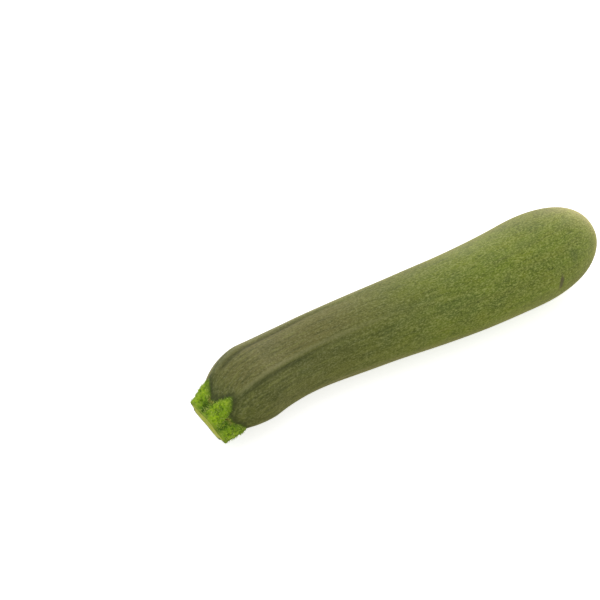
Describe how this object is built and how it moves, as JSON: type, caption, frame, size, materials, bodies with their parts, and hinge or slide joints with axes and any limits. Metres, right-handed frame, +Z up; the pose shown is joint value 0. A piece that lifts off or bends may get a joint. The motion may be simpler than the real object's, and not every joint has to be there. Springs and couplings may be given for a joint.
{
  "type": "courgette",
  "caption": "Whole green courgette lying on its side: ribbed neck, rounded blossom end and a cut stub of stem.",
  "frame": {"origin": "middle of the bounding box at its base, on the surface that the fruit lies on", "axes": "+X along the fruit towards the blossom end, so the cut stem is at -X; +Y across it; +Z up"},
  "size_m": [0.2112, 0.0448, 0.0399],
  "materials": {
    "skin": "satin",
    "stem": "matte"
  },
  "bodies": {
    "root": {"fruit": "skin", "stem_stub": "stem"}
  },
  "joints": []
}
